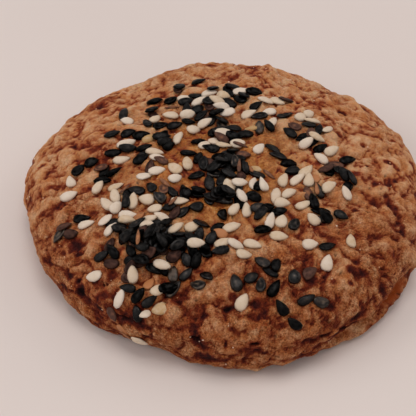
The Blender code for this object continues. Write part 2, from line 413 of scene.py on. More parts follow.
def crust_fields(points, normals):
    """Height of the crust's relief in metres, and marks from 0 to 1: stain, glaze, hollow, browning
    and amber.

    The relief is a weighted sum of the dough's clouds, and of furrows along the wall. Each cloud is
    given its size in mm and its seed.
    Stains are the placed spots and scattered ones, which lie flat along the wall, and creases where
    a cloud crosses zero; the stain is also deeper in valleys and furrows, partly as painted shade, and
    the holes are painted near-black as shade. There are more of them on the front and low down than
    behind and on top.
    """
    mm = points / MM
    drift = np.stack([layered(mm, 5.0, 300 + 7 * k, 2) for k in range(3)], axis=-1)
    ripple = np.stack([cloud(mm, 1.5, 330 + 7 * k) for k in range(3)], axis=-1)
    bent = mm + 1.2 * drift
    flatter = (bent + 0.5 * ripple) * np.array([1.0, 1.0, 1.9])
    turn = np.arctan2(mm[..., 1], mm[..., 0])
    away = np.hypot(mm[..., 0], mm[..., 1]) / (HALF_WIDTH / MM)
    side = smooth(0.15, 0.75, 1 - normals[..., 2])
    rim = smooth(0.05, 0.42, 1 - normals[..., 2])
    behind = smooth(2.0, 22.0, mm[..., 1])

    lumps, cobbles, crumble, pebbles = dough_clouds(mm, bent)
    wrapped = np.stack([turn * HALF_WIDTH / MM / 7.0, mm[..., 2] / 1.3, np.zeros_like(turn)], axis=-1)
    furrows = layered(wrapped + 0.35 * drift, 1.0, 80, 2)
    open_places = smooth(-0.1, 0.4, cloud(mm, 7.0, 100))
    crease = smooth(0.08, 0.0, np.abs(layered(bent, 3.6, 110, 2))) * open_places

    front = smooth(6.0, -24.0, mm[..., 1]) * smooth(0.35, 0.8, away)
    # high in the valleys between cobbles and crumble and in the wall's furrows: syrup gathers there, and it
    # is also painted shade, so browning and soaking are darker there
    valley_syrup_and_shade = evened(-0.8 * cobbles - 0.5 * crumble + 0.3 * side * furrows)
    browning = 0.18 + 0.62 * front + 0.20 * side + 0.10 * behind
    browning = browning + 0.30 * cloud(mm, 9.0, 130) + 0.14 * valley_syrup_and_shade
    soaked = evened(0.55 * evened(layered(flatter, 3.6, 140, 2)) + 0.45 * valley_syrup_and_shade
                    + 0.50 * evened(layered(flatter, 1.5, 145, 2)) + 0.30 * evened(cloud(mm, 11.0, 120)))
    scattered = np.maximum(0.66 * blots(flatter, 4.2, 0.5, 150), 0.60 * blots(flatter, 2.0, 0.3, 155))
    unseen = smooth(18.0, 26.0, mm[..., 1]) * side
    level = SOAK_LEVEL + 0.07 * front + 0.05 * side - 0.02 * behind
    placed = placed_spots(mm, turn, 0.45 * cloud(mm, 1.2, 170) + 0.30 * drift[..., 0])
    # more stain at the bottoms of the valleys and in the wall's furrows: partly syrup, partly painted shade
    # in these recesses
    valley_stain_and_shade = 0.24 * smooth(0.20, 0.03, cobbles) + (0.12 + 0.10 * (1 - front)) * smooth(0.18, 0.03, crumble)
    furrow_stain_and_shade = 0.26 * side * smooth(0.0, 0.6, furrows)
    stain = level + SOAK_SPREAD * soaked + 0.14 * crease + valley_stain_and_shade + furrow_stain_and_shade
    lace = 1 + 0.40 * cloud(mm, 1.4, 190) + 0.40 * cloud(mm, 0.8, 195)
    scattered = scattered * (0.95 + 0.15 * np.maximum(front, unseen))
    stain = np.maximum(stain, np.maximum(scattered, placed) * lace + 0.5 * (stain - level))

    glaze_gap = np.hypot(mm[..., 0] - GLAZE_MIDDLE[0], mm[..., 1] - GLAZE_MIDDLE[1])
    glaze = smooth(1.15, 0.55, glaze_gap / GLAZE_REACH + 0.22 * cloud(mm, 6.0, 180))
    amber, pocket, lip = split_fields(turn, mm[..., 2])

    # holes and pores: sunk in the relief, and painted near-black in the material as shade
    pores, pore_number = grains(mm, 1.9, 200)
    pore = smooth(0.20, 0.08, pores) * smooth(0.7, 0.75, pore_number)
    hollow = np.maximum(smooth(0.95, 1.15, placed), 0.7 * pore)

    relief = 0.5 * lumps + (1.05 - 0.60 * rim) * (cobbles - FOLD_MEAN)
    relief = relief + (0.5 - 0.38 * np.maximum(rim, 0.7 * behind)) * (crumble - FOLD_MEAN)
    relief = relief + 0.12 * pebbles - 0.20 * side * furrows
    relief = relief - 0.20 * smooth(0.4, 0.9, stain) - 0.20 * crease - 0.60 * hollow
    relief = relief - 0.30 * scattered - 0.35 * pocket + 0.20 * lip
    fade = smooth(0.0, FADE_LEVEL, mm[..., 2])  # flat again at the foot
    return relief * MM * fade, np.clip(stain, 0, 1), glaze, hollow, np.clip(browning, 0, 1), amber


# Noises of the crust: how coarse in mm, how many octaves, and how rough
CRUST_NOISES = {
    "tone": (2.4, 6.0, 0.65),
    "fleck": (0.9, 5.0, 0.7),  # butter and sugar that caramelised in spots of just under a millimetre
    "fine": (0.6, 4.0, 0.7),
    "grain": (0.34, 2.0, 0.8),  # flour and sugar
    "grit": (0.30, 4.0, 0.7),
}
PALE_DOUGH = ((0.30, "BE7844"), (0.43, "CE9A6C"), (0.55, "DAB48E"), (0.70, "CCA67E"))
BROWN_DOUGH = ((0.30, "BC6A38"), (0.43, "D29262"), (0.55, "E4B68E"), (0.70, "D0AE88"))
CARAMEL = ((0.36, "FFFFFF"), (0.50, "F0D8C6"), (0.62, "B46E44"))
EGG_WASH = ((0.35, "5C2803"), (0.45, "96500C"), (0.54, "BC7C34"), (0.66, "DEB480"))
SYRUP = ((0.24, "C68048"), (0.42, "A85A30"), (0.58, "883A1E"), (0.74, "6C2819"), (0.90, "521B16"),
         (1.0, "381211"))
SPECKLE = ((0.32, "8A7466"), (0.50, "E0D5CC"), (0.64, "FFFFFF"))
BAKED_FOOT = ((0.3, "6A4126"), (0.7, "96663F"))
AMBER_SYRUP = "9A4410"
# near-black painted shade in holes and pores
HOLE_SHADE = "180809"


def crust_material():
    """Shortbread dough, baked dry and sandy, brushed with egg in the middle.

    Broken starch and sugar grains scatter light evenly, so the eye sees a matt, speckled tan. Where
    syrup has run out of the dough it has dried to rust, maroon and near-black spots; the same syrup
    colours also lie in the valleys and furrows, partly as painted shade, and holes and pores are
    painted near-black as shade. Each coat lies over those before it, by a share worked out from the
    crust's marks.
    """
    material, tree = bare_material("baked_sugar_dough")
    coords = node(tree, "ShaderNodeTexCoord").outputs["Object"]
    marks = {key: node(tree, "ShaderNodeAttribute", attribute_name=key).outputs["Fac"]
             for key in (*CRUST_MARKS, "foot")}
    noise = {key: node(tree, "ShaderNodeTexNoise", {"Vector": coords, "Scale": 1 / (size * MM),
                                                    "Detail": octaves, "Roughness": rough}).outputs["Fac"]
             for key, (size, octaves, rough) in CRUST_NOISES.items()}

    # noise of about half a millimetre varies the egg wash and frays the edge of each spot of syrup
    thick = node(tree, "ShaderNodeMix", {"Factor": 0.4, "A": noise["tone"], "B": noise["fine"]})
    gilt = node(tree, "ShaderNodeMath", {0: marks["glaze"], 1: 0.9}, operation="MULTIPLY")
    frayed = node(tree, "ShaderNodeMath", {0: noise["fine"], 1: 0.64, 2: -0.32}, operation="MULTIPLY_ADD")
    spread = node(tree, "ShaderNodeMath", {0: marks["stain"], 1: frayed.outputs[0]}, operation="ADD",
                  use_clamp=True)
    cover = node(tree, "ShaderNodeMapRange", {"Value": spread.outputs[0], "From Min": 0.06,
                                              "From Max": 0.56})
    sandiness = node(tree, "ShaderNodeMapRange", {"Value": marks["browning"], "To Min": 0.25,
                                                  "To Max": 1.1})

    colour = ramp(tree, noise["tone"], PALE_DOUGH)
    for share, coat, blend in (
            (marks["browning"], ramp(tree, noise["tone"], BROWN_DOUGH), "MIX"),
            (gilt.outputs[0], ramp(tree, thick.outputs["Result"], EGG_WASH), "MIX"),
            (sandiness.outputs["Result"], ramp(tree, noise["fleck"], CARAMEL), "MULTIPLY"),
            # the stain mark also holds painted shade in the valleys and furrows
            (cover.outputs["Result"], ramp(tree, spread.outputs[0], SYRUP), "MIX"),
            (sandiness.outputs["Result"], ramp(tree, noise["grain"], SPECKLE), "MULTIPLY"),
            (marks["amber"], linear(AMBER_SYRUP), "MIX"),
            # holes and pores painted near-black as shade
            (marks["hollow"], linear(HOLE_SHADE), "MIX"),
            (marks["foot"], ramp(tree, noise["tone"], BAKED_FOOT), "MIX")):
        coated = node(tree, "ShaderNodeMix", {"Factor": share, "A": colour, "B": coat}, data_type="RGBA",
                      blend_type=blend)
        colour = coated.outputs["Result"]

    wet = node(tree, "ShaderNodeMath", {0: marks["glaze"], 1: marks["amber"]}, operation="MAXIMUM")
    rough = node(tree, "ShaderNodeMapRange", {"Value": wet.outputs[0], "To Min": 0.75, "To Max": 0.40})
    bump = node(tree, "ShaderNodeBump", {"Height": noise["grit"], "Distance": 0.40 * MM,
                                         "Strength": sandiness.outputs["Result"]})
    shader = node(tree, "ShaderNodeBsdfPrincipled", {
        "Base Color": colour, "Roughness": rough.outputs["Result"],
        "Normal": bump.outputs["Normal"], "Specular IOR Level": 0.15, "IOR": 1.45,
        "Subsurface Weight": 0.4, "Subsurface Radius": (1.0, 0.45, 0.25), "Subsurface Scale": 0.5 * MM})
    node(tree, "ShaderNodeOutputMaterial", {"Surface": shader.outputs["BSDF"]})
    return material


def make_crust():
    """The whole outside of the biscuit as one closed mesh: the wrapped grid, and rings across the foot."""
    dough = bpy.data.objects.new("dough_copy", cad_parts[DOUGH_NODE].data.copy())
    bpy.context.scene.collection.objects.link(dough)
    smooth_grid = softened(projected(blank_grid(), dough, use_positive_direction=True), SOFTENING)
    bpy.data.objects.remove(dough)
    normals = grid_normals(smooth_grid)
    relief, *marks = crust_fields(smooth_grid, normals)
    grid = smooth_grid + normals * relief[..., None]
    grid[..., 2] = np.maximum(grid[..., 2], low_corner.z)

    order = np.arange(GRID * GRID).reshape(GRID, GRID)
    edge = np.concatenate([order[0, :-1], order[:-1, -1], order[-1, :0:-1], order[:0:-1, 0]])
    flat = grid.reshape(-1, 3)
    rim = flat[edge]
    shares = 1 - np.arange(1, FOOT_RINGS) / FOOT_RINGS
    rings = rim[None] * np.stack([shares, shares, shares], axis=-1)[:, None, :]
    dimples = layered(rings / MM, 4.0, 220, 3)
    rings[..., 2] = low_corner.z + FOOT_DIMPLES * smooth(-0.1, 0.9, dimples)
    centre = np.array([[0.0, 0.0, low_corner.z]])
    vertices = np.concatenate([flat, rings.reshape(-1, 3), centre])

    faces = grid_faces(GRID, GRID)
    inner = GRID * GRID + np.arange(rings[..., 0].size).reshape(len(shares), -1)
    loops = np.concatenate([edge[None], inner])
    nexts = np.roll(loops, -1, axis=1)
    band = np.stack([loops[:-1], loops[1:], nexts[1:], nexts[:-1]], axis=-1)
    faces += band.reshape(-1, 4).tolist()
    last = np.full(len(edge), len(vertices) - 1)
    faces += np.stack([loops[-1], last, nexts[-1]], axis=-1).tolist()

    extra = len(vertices) - flat.shape[0]
    pad = np.zeros(extra)
    foot = np.concatenate([smooth(0.9 * MM, 0.1 * MM, flat[:, 2]), np.ones(extra)])
    padded = {key: np.concatenate([values.ravel(), pad])
              for key, values in zip(CRUST_MARKS, marks)}
    crust = piece("crust", vertices, faces, crust_material(), foot=foot, **padded)
    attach(crust, BODY)
    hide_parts(DOUGH_NODE)
    return crust


# ---------------------------------------------------------------- the seeds

TIP_POWER, BLUNT_POWER = 0.70, 0.44  # a half is a round end, and more is a pointed one
SEED_SIDES = 12
# Rings from the middle of the upper face over the edge to the middle of the lower one: share of the
# outline, and height of a plump seed and of a ridged one, as shares of half the thickness
SEED_RINGS = np.array((
    (0.00, 1.00, 0.80),
    (0.50, 0.93, 0.42),
    (0.83, 0.60, 0.74),
    (1.00, 0.00, 0.00),
    (0.00, -0.90, -0.90),
))
SPRINKLE_SEED = 5
SLIPS = 12  # how many places each seed tries
HEAP_PLAY, STRING_PLAY = 1.3, 0.35  # how far it slips, in mm: freely in a heap, hardly in a string
TURN_PLAY = 12  # degrees that it turns as it slips
LOW_COST, FAR_COST = 0.4, 0.12  # what height and distance weigh against bumps when it chooses
STEEPEST = 0.55  # slope that a seed follows at most
BELLY_DEPTH = 0.94  # of half a seed's thickness
BELLY_POWER = 2.2  # the belly rises from its middle by this power of the way to the edge
CLEAR_PERCENT = 80  # how much of the belly clears the ground before the seed is pressed in
SIZE_SPREAD = (0.07, 0.07, 0.10)  # of length, width and thickness, as shares
TILT_SPREAD = 0.10  # as a slope
BEND_SPREAD = 0.05  # mm
GROUND_STEP = 0.2 * MM
GROUND_REACH = 34.0 * MM

# What each letter in the tables below is: piece, length, width and thickness in mm, least and most
# tint, how ridged, and depth pressed in
SEED_KINDS = {
    "b": ("black_seeds", (3.15, 1.80, 0.92), 0.0, 0.45, 0.8, 0.04 * MM),
    "o": ("black_seeds", (3.15, 1.95, 0.90), 0.35, 0.75, 1.0, 0.06 * MM),  # worn
    "w": ("white_seeds", (3.20, 1.98, 0.95), 0.35, 1.0, 0.0, 0.08 * MM),
    "y": ("white_seeds", (3.00, 1.85, 0.90), 0.0, 0.2, 0.0, 0.40 * MM),  # sunk in the glaze
    "r": ("brown_seeds", (2.95, 1.95, 0.70), 0.0, 0.4, 0.8, 0.06 * MM),
    "t": ("brown_seeds", (2.60, 1.80, 0.60), 0.7, 1.0, 0.7, 0.10 * MM),
    "h": ("brown_seeds", (2.80, 0.75, 0.40), 0.2, 0.7, 0.6, 0.02 * MM),  # a shred of hull
}

# Heaps: seeds that lie under the strings, wherever dark seeds crowd together
HEAPED_SEEDS = 60
HEAPED_KINDS = "bbbbor"
DARK_KINDS = "bor"
CROWD_REACH = 3.4  # mm round a seed within which others crowd it
CROWD_PULL = 1.2  # power of the crowd that heaps gather by
HEAP_SPREAD = 1.7  # mm

# Seeds on the wall: degrees round the biscuit, mm up, heading above level, and kind
WALL_SEEDS = (
    (-122.5, 7.5, -55, "r"),
    (-119.0, 5.2, -35, "t"),
    (-117.0, 4.4, -30, "h"),
    (-113.5, 4.2, -12, "w"),
)

# Seeds that fell in short strings: where each string starts and ends, as mm across, mm back and
# heading in degrees, and its kinds in order
STRINGS = (
    # behind the middle
    ((-8.0, 20.0, 40), (-4.0, 22.5, 10), "bb"),
    ((-12.5, 17.0, 10), (-9.5, 16.5, 40), "bb"),
    ((-7.0, 17.5, 20), (-2.5, 18.5, 40), "wbw"),
    ((-1.5, 19.5, 60), (0.5, 18.5, 10), "bw"),
    ((2.0, 20.0, 10), (5.5, 19.0, -10), "bwb"),
    ((1.5, 16.0, 145), (4.5, 18.0, 120), "bbb"),
    ((-7.0, 16.5, 30), (-6.5, 14.0, 70), "bb"),
    ((-4.5, 15.5, 20), (-2.5, 15.0, 120), "wr"),
    ((-4.5, 14.0, 50), (-2.5, 16.0, 50), "bb"),
    ((-1.0, 16.0, 150), (1.0, 13.0, 185), "www"),
    ((-3.5, 12.0, 0), (-1.0, 12.5, 5), "bb"),
    ((-10.0, 12.0, 165), (-11.5, 11.0, 60), "ww"),
    ((-13.0, 13.5, 50), (-13.5, 10.0, 100), "bb"),
    ((-11.5, 9.0, 5), (-6.5, 10.0, 20), "bbb"),
    ((-5.5, 8.5, 15), (-3.5, 10.0, 10), "ww"),
    ((-0.5, 10.5, 155), (4.5, 7.0, 170), "bbb"),
    ((-1.5, 7.5, 35), (-0.5, 8.0, 20), "bb"),
    ((-18.5, 13.0, 80), (-17.5, 11.0, 160), "bw"),
    ((-20.0, 6.5, 40), (-15.0, 7.0, 10), "bbb"),
    ((-17.5, 4.5, 10), (-13.5, 5.5, 10), "wy"),
    ((-19.5, 3.0, -10), (-15.0, 3.5, 15), "bbb"),
    ((-11.0, 6.0, 10), (-10.0, 4.0, 40), "bbb"),
    ((-14.5, 1.5, 60), (-13.5, -0.5, 20), "bb"),
    ((-12.5, 2.0, 5), (-11.5, 0.0, -20), "ww"),
    ((-11.0, -1.0, 170), (-12.5, -2.0, 80), "rr"),
    ((-13.5, -4.0, 30), (-11.5, -3.5, 20), "ww"),
    ((-8.5, -2.0, 150), (-8.5, -4.5, 30), "ww"),
    # round the middle
    ((-3.0, 3.5, 45), (0.0, 6.5, 10), "www"),
    ((0.0, 3.5, -5), (3.0, 4.0, 5), "ww"),
    ((-6.0, 1.5, 20), (-4.5, 4.5, 30), "bb"),
    ((-4.0, 0.0, 80), (-3.0, -1.5, 110), "bb"),
    ((1.0, 1.0, 40), (-0.5, 0.0, 20), "bb"),
    ((3.5, 1.5, 0), (2.5, 0.0, 30), "rb"),
    ((-0.5, -2.0, 5), (1.5, -3.0, 30), "bb"),
    ((4.0, -2.5, 100), (5.5, -4.0, 150), "bb"),
    ((-2.0, -5.5, 100), (-0.5, -6.0, 95), "ob"),
    ((1.0, -7.0, 125), (3.0, -7.5, 25), "ww"),
    ((5.0, -7.0, 60), (7.0, -7.0, 90), "wbw"),
    ((-1.5, -10.5, 150), (0.0, -8.5, 20), "bb"),
    ((1.5, -10.0, 40), (5.0, -8.5, 165), "bwb"),
    ((2.0, -12.5, 70), (4.0, -12.0, 100), "ww"),
    ((6.0, -12.0, 40), (7.5, -11.0, 20), "ob"),
    ((7.0, -13.0, 40), (9.5, -12.0, 12), "bb"),
    ((-1.5, -3.0, 20), (1.0, -1.0, -20), "bbb"),
    ((0.5, -4.0, 160), (2.0, 2.0, 10), "bob"),
    ((-1.0, -9.5, 60), (0.5, -10.0, -15), "bbo"),
    # right of the middle
    ((6.5, 14.0, 30), (7.0, 12.0, 160), "bo"),
    ((8.0, 15.0, 160), (8.5, 12.5, 175), "ww"),
    ((9.5, 16.0, 150), (12.0, 16.0, 20), "wr"),
    ((9.5, 10.0, 40), (11.5, 11.0, 30), "wo"),
    ((14.5, 11.0, 40), (16.0, 12.5, 35), "ww"),
    ((16.0, 9.0, 170), (18.0, 8.0, 100), "bb"),
    ((12.5, 7.0, 150), (14.5, 6.0, 185), "bb"),
    ((13.5, 8.5, 170), (16.5, 7.0, 60), "rr"),
    ((15.5, 4.5, 5), (17.5, 5.5, 10), "ww"),
    ((19.0, 7.5, 45), (20.0, 3.0, 25), "ww"),
    ((18.0, 3.5, 30), (18.0, 1.0, 130), "bw"),
    ((9.0, 3.0, 140), (12.5, -2.5, 200), "bbbb"),
    ((20.0, 0.0, 150), (19.0, -2.0, 25), "rr"),
    ((20.5, -2.0, 140), (22.5, -4.0, 110), "bbb"),
    ((14.5, -3.0, 30), (16.5, -4.5, 150), "wt"),
    ((11.0, -5.0, 60), (13.0, -5.0, 20), "ww"),
    ((15.0, -5.5, 80), (16.5, -6.5, 120), "wo"),
    ((18.5, -6.5, 40), (21.5, -7.0, 95), "ww"),
    ((9.0, -8.0, 65), (11.5, -8.0, 15), "ww"),
    ((8.0, -14.5, 80), (10.0, -14.5, 60), "ww"),
    ((14.0, -10.0, 50), (15.5, -10.0, 95), "wb"),
    ((17.0, -11.5, 145), (17.5, -13.0, 130), "bb"),
    # left of the middle
    ((-25.5, -1.0, 30), (-23.5, 1.0, 20), "bb"),
    ((-27.0, -3.5, 75), (-27.0, -7.0, 45), "ww"),
    ((-21.5, -2.0, 90), (-19.5, -3.0, 40), "bb"),
    ((-22.0, -5.5, 60), (-19.0, -5.5, 10), "ww"),
    ((-20.0, -10.0, 140), (-19.0, -8.0, 95), "ww"),
    ((-17.0, -8.0, 100), (-15.0, -7.5, 150), "bb"),
    ((-15.5, -9.5, 60), (-13.0, -9.5, 170), "ww"),
    ((-12.5, -7.5, 120), (-11.0, -9.5, 130), "bo"),
    ((-8.5, -8.0, 140), (-4.5, -9.0, 145), "bbb"),
    ((-9.0, -11.5, 30), (-6.5, -12.5, 45), "bb"),
    ((-10.5, -14.0, 130), (-11.5, -12.0, 175), "ww"),
    ((-19.5, -13.5, 45), (-17.0, -13.5, 0), "ww"),
    ((-19.0, -15.5, 60), (-17.5, -16.0, 20), "wb"),
    ((-15.0, -15.5, 60), (-16.5, -17.5, 95), "bb"),
    ((-15.0, -18.0, 10), (-13.0, -17.5, 60), "bb"),
    ((-11.5, -18.0, 100), (-9.5, -16.0, 80), "bbb"),
    ((-14.0, -19.0, 20), (-13.5, -20.5, 40), "rt"),
    ((-12.5, -19.5, 130), (-11.0, -21.0, 30), "bbb"),
    ((-12.0, -21.5, 20), (-8.5, -21.5, 40), "rr"),
    ((-12.5, -16.5, 0), (-12.5, -14.5, 170), "ww"),
    ((-14.5, -16.5, 30), (-12.0, -18.5, 70), "brb"),
    ((-16.0, -18.5, 60), (-10.0, -19.5, 20), "bbbb"),
    ((-15.0, -20.5, 120), (-9.5, -20.0, 150), "bbbb"),
    ((-8.0, -20.0, 30), (-3.5, -20.5, 170), "bbb"),
    # in front
    ((-5.0, -16.5, 50), (-4.0, -16.5, 15), "wo"),
    ((-7.0, -19.0, 5), (-5.0, -19.0, 20), "bb"),
    ((-2.0, -18.0, 60), (-1.0, -16.0, 30), "bb"),
    ((-6.5, -21.5, 120), (-5.0, -22.0, 60), "bb"),
    ((0.0, -19.5, 5), (1.5, -19.5, 5), "ww"),
    ((3.5, -21.0, 0), (5.0, -19.5, -8), "ww"),
    ((-24.0, -12.0, 15), (-23.0, -13.5, 10), "bw"),
    ((-27.0, -13.5, 10), (-26.5, -14.5, -10), "rr"),
    ((-20.0, -20.5, 25), (-18.0, -21.5, 0), "br"),
    ((-15.0, -22.5, 80), (-13.5, -22.5, 130), "rb"),
    ((-16.5, -27.5, 60), (-15.0, -25.0, 90), "ww"),
    ((-14.0, -29.5, 100), (-12.0, -28.5, 30), "bb"),
    ((-12.0, -26.0, 50), (-10.5, -27.5, 35), "tw"),
    ((-8.5, -24.5, 80), (-6.0, -24.5, 40), "ob"),
    ((-7.5, -27.0, 45), (-4.0, -27.0, 135), "oo"),
    ((4.5, -25.5, 45), (6.5, -23.0, 135), "oo"),
    ((6.5, -27.0, 85), (8.0, -27.5, 40), "ob"),
    ((8.5, -23.5, 70), (11.5, -25.5, 75), "bo"),
    ((14.5, -19.0, 5), (17.0, -19.0, 25), "wb"),
)

# Seeds that lie by themselves: mm across, mm back, heading in degrees, and kind
LONE_SEEDS = (
    (-6.5, 12.0, 40, "w"),
    (2.5, 6.5, 0, "b"),
    (0.5, 5.5, 140, "r"),
    (-2.0, 2.5, 170, "b"),
    (-6.0, -1.0, 80, "w"),
    (6.0, -2.0, 30, "y"),
    (6.0, 8.5, 150, "y"),
    (5.5, 11.5, 20, "w"),
    (8.0, 9.0, 120, "b"),
    (-8.0, 5.5, 70, "w"),
    (-18.0, 0.5, 25, "w"),
    (-4.5, -4.5, 175, "b"),
    (3.0, -5.5, 110, "r"),
    (-7.5, -10.0, 10, "w"),
    (-10.0, -8.0, 100, "r"),
    (-8.5, -13.0, 60, "r"),
    (7.0, 3.0, 40, "w"),
    (16.5, 10.0, 170, "w"),
    (22.5, 1.0, 10, "b"),
    (10.0, -10.0, 10, "w"),
    (11.5, -15.0, 60, "o"),
    (9.5, -17.5, 8, "w"),
    (15.5, -13.0, 145, "w"),
    (20.0, -12.0, 0, "b"),
    (21.5, -17.0, 85, "w"),
    (17.0, -22.0, 75, "w"),
    (14.0, -24.0, 20, "r"),
    (7.0, -16.0, 10, "b"),
    (1.5, -16.0, 15, "w"),
    (-0.5, -17.5, 170, "t"),
    (-21.6, -1.0, 172, "r"),
    (-18.5, -11.0, 40, "w"),
    (-17.0, -10.0, 80, "b"),
    (-14.5, -13.0, 60, "t"),
    (-16.5, -14.5, -20, "w"),
    (-8.0, -17.5, 50, "w"),
    (-4.5, -20.0, 5, "w"),
    (-1.0, -21.0, 175, "b"),
    (-10.5, -23.0, 0, "w"),
    (-21.5, -23.0, 175, "w"),
    (-14.0, -27.5, 45, "b"),
    (-9.0, -27.5, 12, "b"),
    (-10.5, -30.0, 178, "y"),
    (-12.5, -32.0, 88, "w"),
    (-2.5, -25.0, 165, "o"),
    (2.0, -26.5, 90, "o"),
    (3.5, -29.5, 65, "w"),
    (13.0, -28.5, 10, "b"),
    (9.4, -30.6, 100, "b"),
    (-9.8, -6.2, -60, "h"),
    (-8.6, -11.0, 55, "h"),
    (2.9, -2.2, 85, "h"),
    (4.2, -2.9, 100, "h"),
    (-9.0, 15.2, 20, "h"),
    (16.0, -7.6, 85, "h"),
    (3.4, 3.4, 0, "h"),
    (-13.5, -19.5, 60, "h"),
    (-17.0, -7.5, 30, "h"),
    (8.0, -4.0, -30, "h"),
)
CRUMBS = 180
CRUMB_SIZES = (0.10, 0.24)  # least and most mm from middle to tip, before stretching
CRUMBS_ABOVE = 2 * MM  # none lies lower on the wall

# Each colour of seed: the name of its hull, its tints, roughness, gloss from pit to rib, and depth of
# its grain
HULLS = {
    "black_seeds": ("black_sesame_hull",
                    ((0.0, "010101"), (0.45, "040303"), (0.7, "1C1613"), (1.0, "5A4A3C")),
                    0.30, (0.01, 0.45), 0.06 * MM),
    "white_seeds": ("hulled_white_sesame", ((0.0, "C09A66"), (0.4, "D8C2A6"), (1.0, "E6D8C8")),
                    0.55, (0.3, 0.3), 0.03 * MM),
    "brown_seeds": ("brown_sesame_hull", ((0.0, "2A1814"), (0.4, "5A3A2E"), (1.0, "B87848")),
                    0.55, (0.1, 0.5), 0.04 * MM),
}


def seed_half_width(x):
    """Half width of a seed's outline at x from -1, the blunt end, to 1, the tip: a power of the
    distance to each end, scaled so that the widest place is 1."""
    widest = (BLUNT_POWER - TIP_POWER) / (BLUNT_POWER + TIP_POWER)
    scale = (1 - widest) ** TIP_POWER * (1 + widest) ** BLUNT_POWER
    inside = np.clip(x, -1, 1)
    return (1 - inside) ** TIP_POWER * (1 + inside) ** BLUNT_POWER / scale


def seed_forms(sizes, ridged, bends, chance):
    """Vertices of many seeds at once, lying flat at the origin with their tips along +X, and the
    height of each as a share of half the thickness.

    A ring round the seed follows the outline at a share of its size, and the rings step over its
    edge from the upper face to the lower. Two and three waves round the outline make each seed a
    little uneven, and it bends along its length by a parabola.
    """
    turn = np.arange(SEED_SIDES) * 2 * math.pi / SEED_SIDES
    outline = np.stack([np.cos(turn), np.sign(np.sin(turn)) * seed_half_width(np.cos(turn))], axis=-1)
    count = len(sizes)
    waves = chance.normal(0, 0.045, (2, count, 1)) * np.cos(
        np.array([2, 3])[:, None, None] * turn + chance.uniform(0, 2 * math.pi, (2, count, 1)))
    outline = outline[None] * (1 + waves.sum(axis=0))[..., None]
    rings = SEED_RINGS[1:-1]
    flat = rings[None, :, :1, None] * outline[:, None]
    ends = np.zeros((count, 1, 2))
    flat = np.concatenate([ends, flat.reshape(count, -1, 2), ends], axis=1)
    rise = SEED_RINGS[:, 1] * (1 - ridged[:, None]) + SEED_RINGS[:, 2] * ridged[:, None]
    rise = np.concatenate([rise[:, :1], np.repeat(rise[:, 1:-1], SEED_SIDES, axis=1), rise[:, -1:]], axis=1)
    rise = rise + chance.normal(0, 0.07, rise.shape)
    thin = 1 - 0.35 * smooth(0.4, 1.0, flat[..., 0])
    height = rise * thin * sizes[:, 2:] / 2 + bends[:, None] * (flat[..., 0] ** 2 - 0.4)
    forms = [flat[..., 0] * sizes[:, :1] / 2, flat[..., 1] * sizes[:, 1:2] / 2, height]
    return np.stack(forms, axis=-1), rise


def seed_faces(count):
    """Faces of a number of seeds with one set of vertices after another."""
    rings = len(SEED_RINGS) - 2
    start = 1 + np.arange(rings)[:, None] * SEED_SIDES
    loops = start + np.arange(SEED_SIDES)
    nexts = np.roll(loops, -1, axis=1)
    band = np.stack([loops[:-1], loops[1:], nexts[1:], nexts[:-1]], axis=-1).reshape(-1, 4)
    last = 1 + rings * SEED_SIDES
    upper = np.stack([np.zeros(SEED_SIDES, int), loops[0], nexts[0]], axis=-1)
    lower = np.stack([np.full(SEED_SIDES, last), nexts[-1], loops[-1]], axis=-1)
    step = np.arange(count)[:, None, None] * (last + 1)
    bands = (band[None] + step).reshape(-1, 4).tolist()
    uppers = (upper[None] + step).reshape(-1, 3).tolist()
    lowers = (lower[None] + step).reshape(-1, 3).tolist()
    return bands + uppers + lowers


